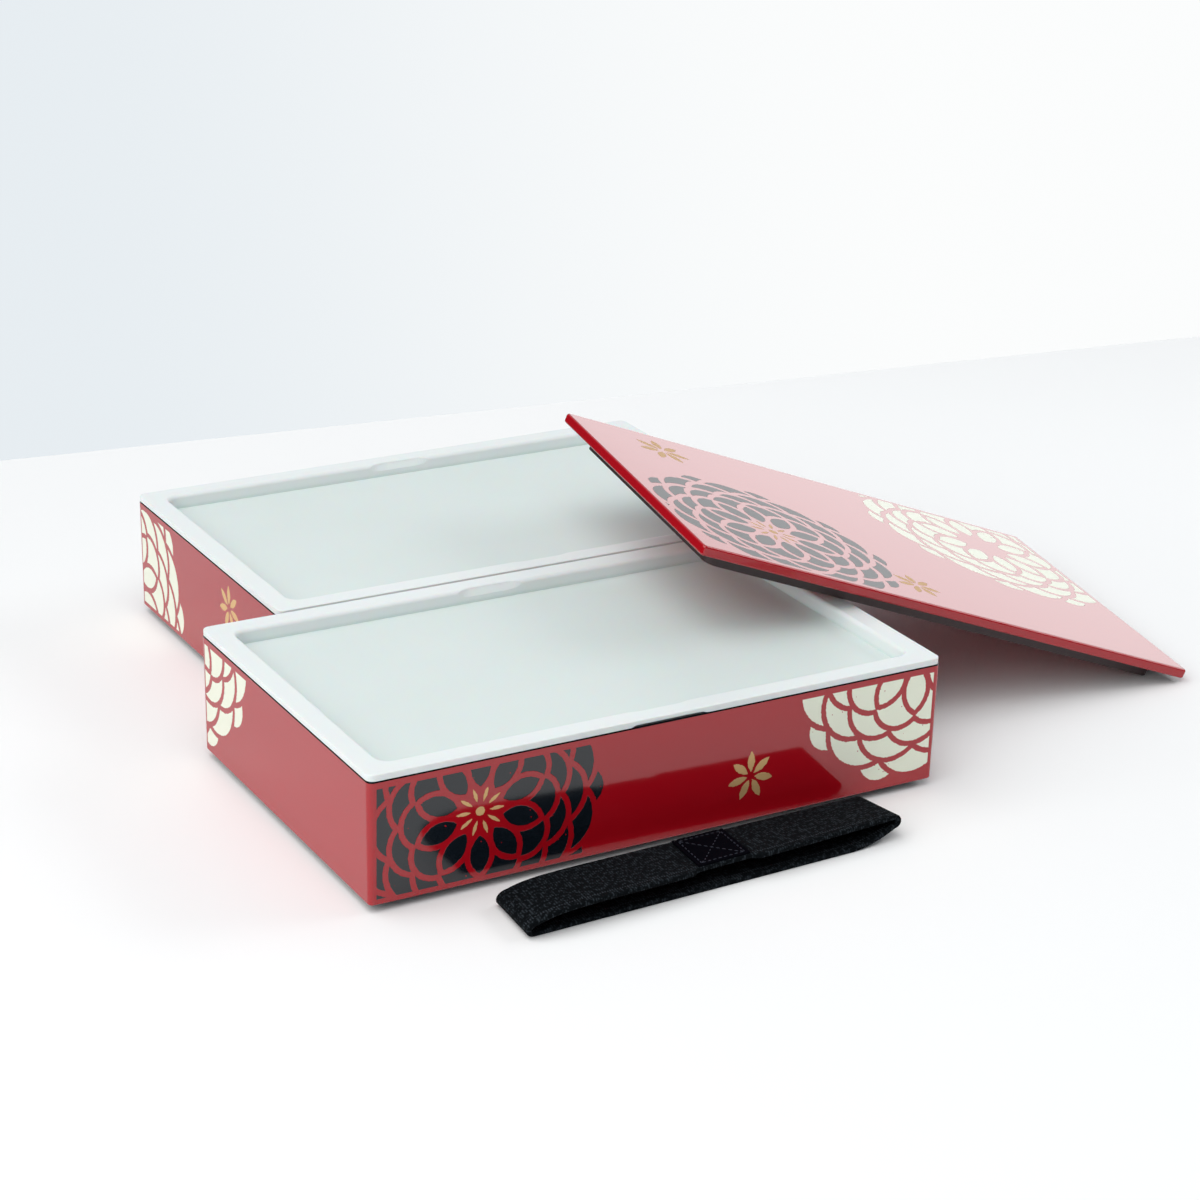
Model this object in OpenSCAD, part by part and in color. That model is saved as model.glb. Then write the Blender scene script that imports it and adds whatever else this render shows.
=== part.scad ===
// Two-tier rectangular food box, unstacked on a table.
// The front tier stands at the origin and the rear tier stands behind it.
// Each tier wears a soft inner lid, and the flat top lid leans against both.
// A looped elastic band, which straps the closed stack, lies in front.

/* [Tier] */
// Outer length of a tier, left to right
tier_length = 195; // [170:1:240]
// Outer depth of a tier, front to back
tier_depth = 122; // [100:1:160]
// Height of the red wall's top edge above the table
tier_height = 41; // [34:0.5:60]
// Thickness of the walls at the top
tier_wall = 2.6; // [2:0.1:3.6]
// How far each outer wall leans in from its top to its bottom
wall_draft = 0.35; // [0:0.05:0.8]
// Radius of the upright outer corners
tier_corner = 2; // [1.5:0.1:3]
// Rounding of the outer walls' bottom edge
wall_bottom_round = 0.6; // [0.2:0.1:0.7]
// Radius of the upright inner corners
cavity_corner = 5; // [4:0.5:8]
// Radius between the inner walls and the floor
floor_fillet = 3; // [1:0.5:5]
// Thickness of the floor
floor_thickness = 2.6; // [2:0.1:4]
// Height of the foot ring under the floor
foot_height = 2.5; // [1.5:0.1:3.5]
// Width of the foot ring
foot_width = 3; // [2:0.1:5]
// Height of the inset lip above the red wall
lip_height = 0.4; // [0.3:0.1:1.5]
// Step from the outer wall back to the lip
lip_step = 0.6; // [0.3:0.1:1]

/* [Inner lid] */
// Thickness of the rim that sits on the lip
rim_thickness = 2.1; // [1.4:0.1:2.6]
// Radius of the rim's upright corners
rim_corner = 2.5; // [1.5:0.1:4]
// Rounding of the rim's outer edge, above and below
rim_edge_round = 0.3; // [0.2:0.1:0.6]
// Distance from the rim's outer edge to the wall of the recess
recess_inset = 7.5; // [6.5:0.1:10]
// Depth of the recess below the rim's top
recess_depth = 4.8; // [4.8:0.1:7]
// Radius of the recess's upright corners
recess_corner = 4; // [3:0.5:7]
// Rounding where the rim turns down into the recess
recess_edge_round = 1.3; // [0.6:0.1:1.5]
// Thickness of the recess's wall and floor
panel_thickness = 1.2; // [0.9:0.1:1.8]
// Depth of the sealing skirt below the rim
skirt_depth = 3.4; // [2:0.1:5]
// Thickness of the sealing skirt
skirt_thickness = 1.2; // [0.9:0.1:1.5]
// Clearance between the skirt and the tier's inner wall
skirt_clearance = 0.25; // [0.15:0.05:0.4]
// Length of the finger notch under the rim, on each long side
notch_length = 27; // [18:1:40]
// How far the finger notch cuts in under the rim
notch_depth = 1.2; // [0.6:0.1:1.6]
// Height of the finger notch
notch_height = 0.8; // [0.4:0.1:1.1]
// Length of the slope at each end of the finger notch
notch_slope = 2.5; // [1:0.5:5]
// Length of the shallow scallop in the recess's long edges
scallop_length = 28; // [16:1:40]
// How far the scallop widens the recess at its top
scallop_depth = 1.3; // [0.8:0.1:1.8]
// Length of the curve at each end of the scallop
scallop_ramp = 8; // [4:0.5:12]
// Height above the recess's floor where the scallop starts to lean out
scallop_start = 1.9; // [1.5:0.1:3]
// Rounding of the scallop's upper edge
scallop_round = 0.6; // [0.3:0.1:1]

/* [Top lid] */
// Thickness of the lid's flat plate
lid_thickness = 3.4; // [2.6:0.1:5]
// Radius of the plate's upright corners
lid_corner = 1.2; // [1:0.1:2.5]
// Rounding of the plate's upper and lower edges
lid_edge_round = 0.8; // [0.4:0.1:0.9]
// Gap between the seated locating rim and the floor of the recess
lid_rim_gap = 0.3; // [0.1:0.1:1]
// Width of the locating rim
lid_rim_width = 2.4; // [1.8:0.1:4]
// Depth of the shallow panel inside the locating rim
lid_panel_depth = 0.8; // [0.4:0.1:1.2]
// Clearance of the foot ring and locating rim in a recess
nest_clearance = 0.3; // [0.2:0.05:0.5]

/* [Arrangement] */
// Gap between the two tiers
tier_gap = 1.5; // [1:0.1:10]
// How far the rear tier stands to the right of the front one
rear_shift = 27; // [20:1:40]
// Length of the locating rim from the front tier's top edge down to the table
lean_length = 126; // [110:1:150]
// How much further down its length the far rim touches the rear tier's edge
lean_lead = 13.2; // [8:0.2:18]
// Where the near rim touches the front tier's right edge, from the centre line
lean_crossing = -8; // [-14:0.5:0]
// Clearance under the leaning lid
lean_gap = 0.1; // [0.05:0.05:0.5]

/* [Elastic band] */
// Width of the elastic webbing
band_width = 20; // [15:1:30]
// Thickness of the webbing
band_thickness = 1.5; // [1:0.1:2]
// Length of the flattened loop along its far edge
band_length = 127.5; // [110:0.5:160]
// How far the far edge's right end lies past the centre line
band_right_end = 66; // [50:1:80]
// How far the near edge is shifted to the left
band_shift = 1.5; // [0:0.1:3]
// Gap between the front tier and the band
band_gap = 9.3; // [5:0.1:30]
// How far the near edge drifts back towards the tier at its left end
band_drift = 1.6; // [0:0.1:3]
// Height of the far edge's left end
band_far_left_height = 5.6; // [4.4:0.1:8]
// Height of the near edge's left end
band_near_left_height = 4.6; // [4.4:0.1:8]
// Height of the far edge's right end
band_far_height = 8; // [7:0.1:12]
// Height of the near edge's right end
band_near_height = 12; // [10:0.1:16]
// How far the far edge's right end curls up off the table
band_far_lift = 2.5; // [0:0.1:2.6]
// How far the near edge's right end curls up off the table
band_near_lift = 6; // [0:0.1:6]
// How far past the centre line the lower strap starts to curl up
band_curl_start = 45; // [30:1:55]
// How far the near edge of the upper strap sags
band_sag = 0.9; // [0:0.1:1.2]
// Length of the sewn patch that covers the join
patch_length = 17.6; // [12:0.1:30]
// Thickness of the sewn patch
patch_thickness = 0.7; // [0.5:0.1:1]
// Distance from the far edge's right end to the patch
patch_from_right = 56.4; // [40:0.1:60]

/* [Hidden] */
lacquer_red = "#9c2a30";
milky_white = "#dfe6e4";
webbing_black = "#26262a";
patch_black = "#18181b";
$fn = 64;
// A cut runs this far past the face that it opens
past = 1;
cavity_draft = wall_draft;
fillet_steps = 6;
nest_inset = recess_inset + nest_clearance;
nest_corner = recess_corner - nest_clearance;
lid_rim_height = recess_depth - lid_rim_gap;
seat_z = tier_height + lip_height;
rim_top = seat_z + rim_thickness;
floor_top = foot_height + floor_thickness;
rear_place = [rear_shift, tier_depth + tier_gap, 0];
// The scallop's cut starts this far inside the recess
scallop_cover = 0.2;
scallop_steps = 26;
scallop_arc_steps = 4;
scallop_foot = rim_top - recess_depth + scallop_start;

// The leaning lid touches in three places: a corner of its locating rim on
// the table, the near rim's outer edge on the front inner lid's right edge,
// and the far rim's inner edge on the rear inner lid's right edge.
rim_span = tier_depth - 2 * nest_inset;
touch_span = rim_span - lid_rim_width;
lean_angle = asin(rim_top / lean_length);
edge_distance = norm([lean_lead, touch_span]);
edge_bearing = acos(rear_shift / edge_distance);
lean_bearing = edge_bearing - acos(lean_lead / edge_distance / cos(lean_angle));
near_touch = [tier_length / 2, lean_crossing, rim_top + lean_gap];
edge_line = edge_distance * [cos(edge_bearing), sin(edge_bearing), 0];
lid_x = [cos(lean_angle) * cos(lean_bearing), cos(lean_angle) * sin(lean_bearing), -sin(lean_angle)];
lid_y = (edge_line - lean_lead * lid_x) / touch_span;
lid_z = cross(lid_x, lid_y);
near_touch_x = tier_length / 2 - nest_inset - lean_length;
lid_place = near_touch - near_touch_x * lid_x + rim_span / 2 * lid_y + lid_rim_height * lid_z;
lid_turn = [atan2(lid_y[2], lid_z[2]), asin(-lid_x[2]), atan2(lid_x[1], lid_x[0])];

// The band's loop is a ring of stations. Each holds a point on its near edge
// and one on its far edge, and the strap's thickness grows inward from them.
// Each edge is listed as its left end, left height, right end, right height,
// lift of the right end, and sag.
arc_steps = 10;
strap_steps = 8;
patch_steps = 4;
curl_steps = 8;
curl_power = 1.7;
band_left_end = band_right_end - band_length;
band_far_y = -tier_depth / 2 - band_gap;
band_near_y = band_far_y - band_width;
far_edge = [band_left_end, band_far_left_height, band_right_end, band_far_height, band_far_lift, 0];
near_edge = [band_left_end - band_shift, band_near_left_height, band_right_end - band_shift,
    band_near_height, band_near_lift, band_sag];
patch_start = (patch_from_right - turn_right(far_edge)) / strap_run(far_edge);
patch_end = patch_start + patch_length / strap_run(far_edge);
curl_share = (band_curl_start - strap_left(far_edge)) / strap_run(far_edge);

// Radii of an edge's two turns, and the run of flat strap between them
function turn_left(edge) = edge[1] / 2;
function turn_right(edge) = (edge[3] - edge[4]) / 2;
function strap_left(edge) = edge[0] + turn_left(edge);
function strap_right(edge) = edge[2] - turn_right(edge);
function strap_run(edge) = strap_right(edge) - strap_left(edge);

// A row of evenly spaced values, without its last one
function spread(from, to, steps) = [for (i = [0:steps - 1]) from + (to - from) * i / steps];

// Shares of the upper strap, right to left, with the patch's ends among them
upper_shares = concat(
    spread(0, patch_start, strap_steps),
    spread(patch_start, patch_end, patch_steps),
    spread(patch_end, 1, strap_steps)
);

// Point on the upper strap's outer face, at a share of its run from the right
function upper_point(edge, share) =
    let (left = 1 - share)
    [strap_left(edge) + strap_run(edge) * left,
        edge[1] + (edge[3] - edge[1]) * left - edge[5] * sin(180 * left)];

// Point on the lower strap's outer face, at a share of its run from the left
function lower_point(edge, share) =
    let (
        x = strap_left(edge) + strap_run(edge) * share,
        curl = max((x - band_curl_start) / (strap_right(edge) - band_curl_start), 0)
    )
    [x, edge[4] * pow(curl, curl_power)];

// Points on a half turn, from a start angle, with its centre and radius given
function half_turn(centre, radius, start) =
    [for (i = [0:arc_steps]) let (a = start + 180 * i / arc_steps)
        centre + radius * [cos(a), sin(a)]];

// The loop's outer face along one edge, from the lower strap round by the right
function loop_outline(edge) = concat(
    [for (share = spread(curl_share, 1, curl_steps)) lower_point(edge, share)],
    half_turn([strap_right(edge), edge[4] + turn_right(edge)], turn_right(edge), -90),
    [for (i = [1:len(upper_shares) - 1]) upper_point(edge, upper_shares[i])],
    half_turn([strap_left(edge), turn_left(edge)], turn_left(edge), 90)
);

// An outline moved inward, square to the line through each point's neighbours
function inset_outline(outline, inset) =
    let (count = len(outline))
    [for (i = [0:count - 1])
        let (way = outline[(i + 1) % count] - outline[(i + count - 1) % count])
        outline[i] + inset / norm(way) * [-way[1], way[0]]];

// Places in space of points on the near and far edges
function near_place(p) = [p[0], band_near_y + band_drift * max(-2 * p[0] / band_length, 0), p[1]];
function far_place(p) = [p[0], band_far_y, p[1]];

// Plan of a rectangle with rounded corners
module rounded_plan(length, depth, corner) {
    square([length - 2 * corner, depth], center = true);
    square([length, depth - 2 * corner], center = true);
    for (x = [-1, 1])
        for (y = [-1, 1])
            translate([x * (length / 2 - corner), y * (depth / 2 - corner)])
                circle(corner);
}

// A plate with rounded upright corners
module rounded_plate(length, depth, corner, thickness) {
    linear_extrude(thickness)
        rounded_plan(length, depth, corner);
}

// An upright ring that follows a rounded rectangle
module rounded_ring(length, depth, corner, width, height) {
    linear_extrude(height)
        difference() {
            rounded_plan(length, depth, corner);
            rounded_plan(length - 2 * width, depth - 2 * width, max(corner - width, 1));
        }
}

// Carries a profile round a rounded rectangle, with a filled core inside it.
// The profile's x runs outward from the corner centres and its y runs up.
module moulded_block(length, depth, corner, bottom, top) {
    half_x = length / 2 - corner;
    half_y = depth / 2 - corner;
    for (side = [0:3]) {
        out = side % 2 == 0 ? half_x : half_y;
        along = side % 2 == 0 ? half_y : half_x;
        rotate([0, 0, 90 * side])
            translate([out, along, 0]) {
                rotate_extrude(angle = 90)
                    children();
                rotate([90, 0, 0])
                    linear_extrude(2 * along)
                        children();
            }
    }
    translate([-half_x, -half_y, bottom])
        cube([2 * half_x, 2 * half_y, top - bottom]);
}

// Outside of a tier's wall, which leans in towards its rounded bottom edge
module wall_profile() {
    low_x = tier_corner - wall_draft;
    centre = [low_x - wall_bottom_round, foot_height + wall_bottom_round];
    bottom_edge = [for (i = [0:fillet_steps]) let (a = -90 + 90 * i / fillet_steps)
        centre + wall_bottom_round * [cos(a), sin(a)]];
    polygon(concat(
        [[0, foot_height]],
        bottom_edge,
        [[tier_corner, tier_height], [0, tier_height]]
    ));
}

// Side of the tier's hollow, with a filleted foot
module cavity_profile() {
    low_x = cavity_corner - cavity_draft;
    fillet = [for (i = [0:fillet_steps]) let (a = -90 + 90 * i / fillet_steps)
        [low_x - floor_fillet, floor_top + floor_fillet] + floor_fillet * [cos(a), sin(a)]];
    polygon(concat(
        [[0, floor_top]],
        fillet,
        [[cavity_corner, seat_z], [cavity_corner, seat_z + past], [0, seat_z + past]]
    ));
}

// One tier, with its origin at the centre of its foot on the table
module tier() {
    inner_length = tier_length - 2 * tier_wall;
    inner_depth = tier_depth - 2 * tier_wall;
    difference() {
        union() {
            moulded_block(tier_length, tier_depth, tier_corner, foot_height, tier_height)
                wall_profile();
            translate([0, 0, tier_height - past])
                rounded_plate(tier_length - 2 * lip_step, tier_depth - 2 * lip_step,
                    tier_corner - lip_step, lip_height + past);
        }
        moulded_block(inner_length, inner_depth, cavity_corner, floor_top, seat_z + past)
            cavity_profile();
    }
    rounded_ring(tier_length - 2 * nest_inset, tier_depth - 2 * nest_inset, nest_corner,
        foot_width, foot_height);
}

// Side of the inner lid's recess, flared where the rim turns down into it
module recess_profile() {
    floor_z = rim_top - recess_depth;
    translate([0, floor_z])
        square([recess_corner, recess_depth + past]);
    difference() {
        translate([recess_corner - past, rim_top - recess_edge_round])
            square([past + recess_edge_round, recess_edge_round + past]);
        translate([recess_corner + recess_edge_round, rim_top - recess_edge_round])
            circle(recess_edge_round);
    }
}

// Section of the scallop's cut, given how far it is pushed out at its top
function scallop_section(push) =
    let (arc_centre = [push + scallop_round, rim_top - scallop_round])
    concat(
        [[-scallop_cover - past, scallop_foot], [-scallop_cover, scallop_foot]],
        [for (i = [0:scallop_arc_steps]) let (a = 180 - 90 * i / scallop_arc_steps)
            arc_centre + scallop_round * [cos(a), sin(a)]],
        [[push + scallop_round, rim_top + past], [-scallop_cover - past, rim_top + past]]
    );

// One scallop's cut, with its straight foot along x and its top pushed out
// to +y. Its ends lie inside the recess, so that they blend into its wall.
module scallop_cut() {
    sections = [for (i = [0:scallop_steps])
        let (
            x = scallop_length * (i / scallop_steps - 0.5),
            ramp = (1 - cos(180 * min((scallop_length / 2 - abs(x)) / scallop_ramp, 1))) / 2
        )
        [for (p = scallop_section((scallop_depth + scallop_cover) * ramp - scallop_cover)) [x, p[0], p[1]]]];
    count = len(sections[0]);
    sides = [for (i = [0:scallop_steps - 1]) for (k = [0:count - 1]) for (half = [0, 1])
        let (
            a = count * i + k,
            b = count * i + (k + 1) % count,
            c = count * (i + 1) + (k + 1) % count,
            d = count * (i + 1) + k
        )
        half == 0 ? [a, c, b] : [a, d, c]];
    last = count * scallop_steps;
    polyhedron(
        [for (section = sections) for (p = section) p],
        concat(sides, [[for (k = [0:count - 1]) k]], [[for (k = [count - 1:-1:0]) last + k]])
    );
}

// Scallops in the middle of the recess's long edges
module scallops() {
    for (side = [0, 180])
        rotate([0, 0, side])
            translate([0, tier_depth / 2 - recess_inset, 0])
                scallop_cut();
}

// Finger notches under the rim, in the middle of its long sides
module finger_notches() {
    half_notch = notch_length / 2;
    for (side = [0, 180])
        rotate([0, 0, side])
            translate([0, tier_depth / 2 + notch_depth, seat_z])
                rotate([90, 0, 0])
                    linear_extrude(2 * notch_depth)
                        polygon([
                            [-half_notch, -past],
                            [half_notch, -past],
                            [half_notch, 0],
                            [half_notch - notch_slope, notch_height],
                            [notch_slope - half_notch, notch_height],
                            [-half_notch, 0]
                        ]);
}

// One inner lid, a soft tray whose rim sits on a tier's lip
module inner_lid() {
    tray_inset = recess_inset - panel_thickness;
    tray_bottom = rim_top - recess_depth - panel_thickness;
    skirt_inset = tier_wall + skirt_clearance;
    difference() {
        union() {
            translate([0, 0, seat_z])
                moulded_block(tier_length, tier_depth, rim_corner, 0, rim_thickness)
                    edge_profile(rim_corner, rim_thickness, rim_edge_round);
            translate([0, 0, tray_bottom])
                rounded_plate(tier_length - 2 * tray_inset, tier_depth - 2 * tray_inset,
                    recess_corner + panel_thickness, seat_z - tray_bottom + past);
            translate([0, 0, seat_z - skirt_depth])
                rounded_ring(tier_length - 2 * skirt_inset, tier_depth - 2 * skirt_inset,
                    cavity_corner - skirt_clearance, skirt_thickness, skirt_depth + past);
        }
        moulded_block(tier_length - 2 * recess_inset, tier_depth - 2 * recess_inset, recess_corner,
            rim_top - recess_depth, rim_top + past)
            recess_profile();
        scallops();
        finger_notches();
    }
}

// Edge of a flat plate, rounded above and below, out to its corner radius
module edge_profile(reach, thickness, edge_round) {
    round_x = reach - edge_round;
    intersection() {
        square([reach, thickness]);
        union() {
            square([round_x, thickness]);
            translate([0, edge_round])
                square([reach, thickness - 2 * edge_round]);
            for (z = [edge_round, thickness - edge_round])
                translate([round_x, z])
                    circle(edge_round);
        }
    }
}

// The top lid lying flat, with its origin at the centre of the plate's underside
module flat_top_lid() {
    rim_length = tier_length - 2 * nest_inset;
    difference() {
        union() {
            moulded_block(tier_length, tier_depth, lid_corner, 0, lid_thickness)
                edge_profile(lid_corner, lid_thickness, lid_edge_round);
            translate([0, 0, -lid_rim_height])
                rounded_ring(rim_length, rim_span, nest_corner, lid_rim_width, lid_rim_height + past);
        }
        translate([0, 0, -past])
            rounded_plate(rim_length - 2 * lid_rim_width, rim_span - 2 * lid_rim_width,
                max(nest_corner - lid_rim_width, 1), lid_panel_depth + past);
    }
}

// A closed strip through the outer and inner outlines of its two edges
module strap_loop(near_outline, far_outline, thickness) {
    near_inner = inset_outline(near_outline, thickness);
    far_inner = inset_outline(far_outline, thickness);
    count = len(near_outline);
    stations = [for (i = [0:count - 1]) [
        near_place(near_outline[i]),
        far_place(far_outline[i]),
        far_place(far_inner[i]),
        near_place(near_inner[i])
    ]];
    points = [for (station = stations) for (corner = station) corner];
    faces = [for (i = [0:count - 1]) for (k = [0:3]) for (half = [0, 1])
        let (
            a = 4 * i + k,
            b = 4 * i + (k + 1) % 4,
            c = 4 * ((i + 1) % count) + (k + 1) % 4,
            d = 4 * ((i + 1) % count) + k
        )
        half == 0 ? [a, b, c] : [a, c, d]];
    polyhedron(points, faces);
}

module front_tier() {
    color(lacquer_red)
        tier();
}

module rear_tier() {
    color(lacquer_red)
        translate(rear_place)
            tier();
}

module front_inner_lid() {
    color(milky_white)
        inner_lid();
}

module rear_inner_lid() {
    color(milky_white)
        translate(rear_place)
            inner_lid();
}

module top_lid() {
    color(lacquer_red)
        translate(lid_place)
            rotate(lid_turn)
                flat_top_lid();
}

module elastic_band() {
    color(webbing_black)
        strap_loop(loop_outline(near_edge), loop_outline(far_edge), band_thickness);
}

// The patch lies on the upper strap between two of its stations
module band_join_patch() {
    shares = [for (i = [0:patch_steps]) upper_shares[strap_steps + i]];
    near = [for (share = shares) near_place(upper_point(near_edge, share))];
    far = [for (share = shares) far_place(upper_point(far_edge, share))];
    up = [0, 0, patch_thickness];
    count = len(shares);
    points = [for (i = [0:count - 1]) for (p = [near[i], far[i], far[i] + up, near[i] + up]) p];
    sides = [for (i = [0:count - 2]) for (k = [0:3]) for (half = [0, 1])
        let (
            a = 4 * i + k,
            b = 4 * i + (k + 1) % 4,
            c = 4 * (i + 1) + (k + 1) % 4,
            d = 4 * (i + 1) + k
        )
        half == 0 ? [a, c, b] : [a, d, c]];
    last = 4 * (count - 1);
    color(patch_black)
        polyhedron(points, concat([[0, 1, 2, 3]], sides, [[last + 3, last + 2, last + 1, last]]));
}

front_tier();
rear_tier();
front_inner_lid();
rear_inner_lid();
top_lid();
elastic_band();
band_join_patch();
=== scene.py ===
"""Looks and studio of a two-tier lacquer food box, shown unstacked on a table.

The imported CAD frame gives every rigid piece. This script dresses them in lacquer, printed
flowers and milky plastic, builds the woven elastic band with its sewn patch, and sets up
the table, the soft lights and the camera. Sizes are in millimetres and become metres
where a mesh or a node needs them.
"""
import logging
import math
from dataclasses import dataclass, field
from enum import Enum
from typing import Callable, Sequence, Union

import bmesh
import bpy
from mathutils import Matrix, Vector


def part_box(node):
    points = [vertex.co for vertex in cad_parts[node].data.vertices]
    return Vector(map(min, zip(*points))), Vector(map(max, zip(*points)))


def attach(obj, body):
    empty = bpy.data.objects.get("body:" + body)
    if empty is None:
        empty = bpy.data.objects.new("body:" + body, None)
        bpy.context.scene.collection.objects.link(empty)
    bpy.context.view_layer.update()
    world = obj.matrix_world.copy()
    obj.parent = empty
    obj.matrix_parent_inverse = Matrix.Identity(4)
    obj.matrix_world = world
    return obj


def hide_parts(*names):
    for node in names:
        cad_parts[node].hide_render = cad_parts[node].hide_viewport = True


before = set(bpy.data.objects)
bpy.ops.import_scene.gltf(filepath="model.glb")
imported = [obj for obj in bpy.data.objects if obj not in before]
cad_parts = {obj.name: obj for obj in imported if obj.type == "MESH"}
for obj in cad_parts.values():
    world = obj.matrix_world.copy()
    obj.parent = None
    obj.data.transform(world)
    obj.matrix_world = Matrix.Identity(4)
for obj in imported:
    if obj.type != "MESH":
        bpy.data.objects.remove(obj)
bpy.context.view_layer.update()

MM = 0.001
log = logging.getLogger("food_box")

Value = Union[float, "Num"]
Colour = tuple[float, float, float]


class Num:
    """A number at a node's socket, on which arithmetic adds Math nodes."""

    def __init__(self, net: "Net", socket: bpy.types.NodeSocket) -> None:
        """Wrap a socket of a net.

        Args:
            net: The node tree that the socket belongs to.
            socket: The output socket that carries the number.
        """
        self.net = net
        self.socket = socket

    def __add__(self, other: Value) -> "Num":
        """Sum of this and another value."""
        return self.net.math("ADD", self, other)

    def __radd__(self, other: Value) -> "Num":
        """Sum of another value and this."""
        return self.net.math("ADD", other, self)

    def __sub__(self, other: Value) -> "Num":
        """This less another value."""
        return self.net.math("SUBTRACT", self, other)

    def __rsub__(self, other: Value) -> "Num":
        """Another value less this."""
        return self.net.math("SUBTRACT", other, self)

    def __mul__(self, other: Value) -> "Num":
        """Product of this and another value."""
        return self.net.math("MULTIPLY", self, other)

    def __rmul__(self, other: Value) -> "Num":
        """Product of another value and this."""
        return self.net.math("MULTIPLY", other, self)

    def __truediv__(self, other: Value) -> "Num":
        """This divided by another value."""
        return self.net.math("DIVIDE", self, other)

    def __neg__(self) -> "Num":
        """This with its sign turned."""
        return self.net.math("MULTIPLY", self, -1.0)

    def __abs__(self) -> "Num":
        """This without its sign."""
        return self.net.math("ABSOLUTE", self)

    def __gt__(self, other: Value) -> "Num":
        """One where this is greater, or else nought."""
        return self.net.math("GREATER_THAN", self, other)

    def __lt__(self, other: Value) -> "Num":
        """One where this is less, or else nought."""
        return self.net.math("LESS_THAN", self, other)


class Net:
    """A node tree that is being filled."""

    def __init__(self, tree: bpy.types.NodeTree) -> None:
        """Empty a tree and keep it.

        Args:
            tree: The node tree of a material or of the world.
        """
        tree.nodes.clear()
        self.tree = tree

    def node(self, kind: str, settings: dict | None = None,
             values: dict | Sequence | None = None) -> bpy.types.Node:
        """Add a node, with its settings first and then its sockets.

        Args:
            kind: The node's type, such as "ShaderNodeMath".
            settings: Attributes of the node, such as a Math node's operation.
            values: Values, sockets or numbers for the inputs, by place or by name.

        Returns:
            The new node.
        """
        node = self.tree.nodes.new(kind)
        for name, setting in (settings or {}).items():
            setattr(node, name, setting)
        pairs = values.items() if isinstance(values, dict) else enumerate(values or ())
        for key, value in pairs:
            if value is None:
                continue
            if isinstance(value, Num):
                value = value.socket
            if isinstance(value, bpy.types.NodeSocket):
                self.tree.links.new(value, node.inputs[key])
            else:
                node.inputs[key].default_value = value
        return node

    def num(self, node: bpy.types.Node, output: int | str = 0) -> Num:
        """The number at a node's output."""
        return Num(self, node.outputs[output])

    def math(self, operation: str, *values: Value) -> Num:
        """Add a Math node on one to three values."""
        return self.num(self.node("ShaderNodeMath", {"operation": operation}, values))

    def smaller(self, a: Value, b: Value) -> Num:
        """The smaller of two values."""
        return self.math("MINIMUM", a, b)

    def larger(self, a: Value, b: Value) -> Num:
        """The larger of two values."""
        return self.math("MAXIMUM", a, b)

    def length(self, x: Value, y: Value) -> Num:
        """Length of a flat vector."""
        return self.math("SQRT", x * x + y * y)

    def inside(self, distance: Num, soft: float) -> Num:
        """One inside a shape and nought outside it.

        Args:
            distance: Signed distance to the shape's edge, less than nought inside.
            soft: Width of the change at the edge.

        Returns:
            The mask.
        """
        settings = {"interpolation_type": "SMOOTHSTEP"}
        values = [distance, -soft / 2, soft / 2, 1.0, 0.0]
        return self.num(self.node("ShaderNodeMapRange", settings, values))

    def mix(self, factor: Value, first: object, second: object) -> bpy.types.NodeSocket:
        """Mix of two colours.

        Args:
            factor: How much of the second colour is taken.
            first: A colour or the socket of one.
            second: A colour or the socket of one.

        Returns:
            The mixed colour's socket.
        """
        first = first if isinstance(first, bpy.types.NodeSocket) else (*first, 1.0)
        second = second if isinstance(second, bpy.types.NodeSocket) else (*second, 1.0)
        settings = {"data_type": "RGBA", "clamp_factor": True}
        node = self.node("ShaderNodeMix", settings, {0: factor, 6: first, 7: second})
        return node.outputs[2]

    def place(self) -> tuple[Num, Num, Num]:
        """Place on the object in millimetres, along X, Y and Z."""
        coords = self.node("ShaderNodeTexCoord").outputs["Object"]
        parts = self.node("ShaderNodeSeparateXYZ", None, [coords])
        return tuple(self.num(parts, axis) * (1 / MM) for axis in range(3))

    def noise(self, size: float, detail: float = 2.0, stretch: Colour = (1, 1, 1)) -> Num:
        """Noise from nought to one on the object's coordinates.

        Args:
            size: Size of its features in millimetres.
            detail: Number of finer layers.
            stretch: Scale along X, Y and Z.

        Returns:
            The noise.
        """
        coords = self.node("ShaderNodeTexCoord").outputs["Object"]
        spread = self.node("ShaderNodeVectorMath", {"operation": "MULTIPLY"}, [coords, stretch])
        values = {"Vector": spread.outputs[0], "Scale": 1 / (size * MM), "Detail": detail}
        return self.num(self.node("ShaderNodeTexNoise", None, values))

    def specks(self, spacing: float, radius: float, share: float) -> Num:
        """A scatter of small specks.

        Args:
            spacing: Mean distance between them in millimetres.
            radius: Radius of a speck in millimetres.
            share: Share of the places that hold one.

        Returns:
            A mask that is one on the specks.
        """
        coords = self.node("ShaderNodeTexCoord").outputs["Object"]
        cells = self.node("ShaderNodeTexVoronoi", None, {"Vector": coords, "Scale": 1 / (spacing * MM)})
        chance = self.num(self.node("ShaderNodeSeparateColor", None, [cells.outputs["Color"]]))
        return (self.num(cells, "Distance") < radius / spacing) * (chance < share)


def new_material(name: str) -> tuple[bpy.types.Material, Net]:
    """Make an empty material.

    Args:
        name: Its name.

    Returns:
        The material and its net.
    """
    material = bpy.data.materials.new(name)
    material.use_nodes = True
    return material, Net(material.node_tree)


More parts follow.
